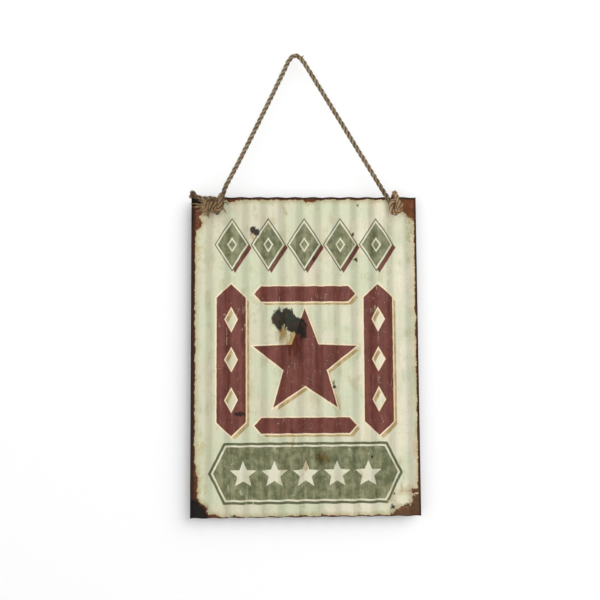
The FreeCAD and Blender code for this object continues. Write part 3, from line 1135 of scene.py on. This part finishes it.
def seen_directly(tree):
    """1 for rays from the camera, or seen through gloss or glass, and 0 for light on the object."""
    path = tree.nodes.new("ShaderNodeLightPath")
    camera_ray, glossy, through = [
        Field(tree, path.outputs[name])
        for name in ("Is Camera Ray", "Is Glossy Ray", "Is Transmission Ray")
    ]
    return camera_ray.most(glossy).most(through)


def world_light():
    """Even pale light from all round, seen as white."""
    world = bpy.data.worlds.new("studio")
    bpy.context.scene.world = world
    world.use_nodes = True
    tree = world.node_tree
    background = next(node for node in tree.nodes if node.type == "BACKGROUND")
    background.inputs["Color"].default_value = (1, 1, 1, 1)
    strength = seen_directly(tree) * (1 - LIGHT_LEVEL) + LIGHT_LEVEL
    tree.links.new(strength.socket, background.inputs["Strength"])


def backdrop_material(name, glow):
    """White that keeps shadows. It can't be seen from behind."""
    material = bpy.data.materials.new(name)
    material.use_nodes = True
    tree = material.node_tree
    tree.nodes.clear()
    matt = tree.nodes.new("ShaderNodeBsdfDiffuse")
    matt.inputs["Color"].default_value = (0.92, 0.92, 0.92, 1)
    light = tree.nodes.new("ShaderNodeEmission")
    tree.links.new((seen_directly(tree) * glow).socket, light.inputs["Strength"])
    both = tree.nodes.new("ShaderNodeAddShader")
    clear = tree.nodes.new("ShaderNodeBsdfTransparent")
    sides = tree.nodes.new("ShaderNodeMixShader")
    geometry = tree.nodes.new("ShaderNodeNewGeometry")
    output = tree.nodes.new("ShaderNodeOutputMaterial")
    tree.links.new(matt.outputs[0], both.inputs[0])
    tree.links.new(light.outputs[0], both.inputs[1])
    tree.links.new(geometry.outputs["Backfacing"], sides.inputs[0])
    tree.links.new(both.outputs[0], sides.inputs[1])
    tree.links.new(clear.outputs[0], sides.inputs[2])
    tree.links.new(sides.outputs[0], output.inputs["Surface"])
    return material


def backdrop(name, corners, glow):
    """Flat stage piece that neither blocks nor bounces the light on the object."""
    mesh = bpy.data.meshes.new(name)
    mesh.from_pydata(corners, [], [(0, 1, 2, 3)])
    mesh.materials.append(backdrop_material(name, glow))
    obj = bpy.data.objects.new(name, mesh)
    obj.visible_shadow = False
    obj.visible_diffuse = False
    bpy.context.collection.objects.link(obj)
    return obj


def lamp(name, spot, share, size, receivers, blockers=None):
    """Square lamp turned to the middle of the sign. share is its part of the plain light level."""
    data = bpy.data.lights.new(name, "AREA")
    data.size = size
    away = (spot - LAMP_TARGET).length
    data.energy = share * math.pi ** 2 * away ** 2
    obj = bpy.data.objects.new(name, data)
    obj.location = spot
    obj.rotation_euler = (LAMP_TARGET - spot).to_track_quat("-Z", "Y").to_euler()
    bpy.context.collection.objects.link(obj)
    obj.light_linking.receiver_collection = receivers
    if blockers:
        obj.light_linking.blocker_collection = blockers


def only(name, objects):
    """Collection that limits a lamp to lighting these objects, or to being blocked by them."""
    collection = bpy.data.collections.new(name)
    for obj in objects:
        collection.objects.link(obj)
    return collection


def stage():
    """White wall close behind the sign, pale floor below it, and the lights."""
    wall = backdrop("wall", [
        Vector((-STAGE_SIDE, WALL_DEPTH, FLOOR_LEVEL)),
        Vector((STAGE_SIDE, WALL_DEPTH, FLOOR_LEVEL)),
        Vector((STAGE_SIDE, WALL_DEPTH, WALL_TOP)),
        Vector((-STAGE_SIDE, WALL_DEPTH, WALL_TOP)),
    ], WALL_GLOW)
    floor = backdrop("floor", [
        Vector((-STAGE_SIDE, -FLOOR_REACH, FLOOR_LEVEL)),
        Vector((STAGE_SIDE, -FLOOR_REACH, FLOOR_LEVEL)),
        Vector((STAGE_SIDE, FLOOR_REACH, FLOOR_LEVEL)),
        Vector((-STAGE_SIDE, FLOOR_REACH, FLOOR_LEVEL)),
    ], FLOOR_GLOW)
    world_light()
    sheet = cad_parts["corrugated_sheet"]
    pieces = [obj for obj in bpy.context.collection.all_objects if obj.type == "MESH"]
    rope = only("rope", [obj for obj in pieces if obj not in (wall, floor, sheet)])
    steel = only("steel", [sheet])
    backdrops = only("backdrops", [wall, floor])
    lamp("rope_key", KEY_SPOT, ROPE_KEY_SHARE, KEY_SIZE, rope)
    lamp("rope_fill", FILL_SPOT, ROPE_FILL_SHARE, FILL_SIZE, rope)
    lamp("steel_key", KEY_SPOT, STEEL_KEY_SHARE, KEY_SIZE, steel, steel)
    lamp("steel_fill", FILL_SPOT, STEEL_FILL_SHARE, FILL_SIZE, steel)
    lamp("wall_left", WALL_LEFT_SPOT, WALL_LEFT_SHARE, WALL_LEFT_SIZE, backdrops, steel)
    lamp("wall_right", WALL_RIGHT_SPOT, WALL_RIGHT_SHARE, WALL_RIGHT_SIZE, backdrops, steel)


stage()
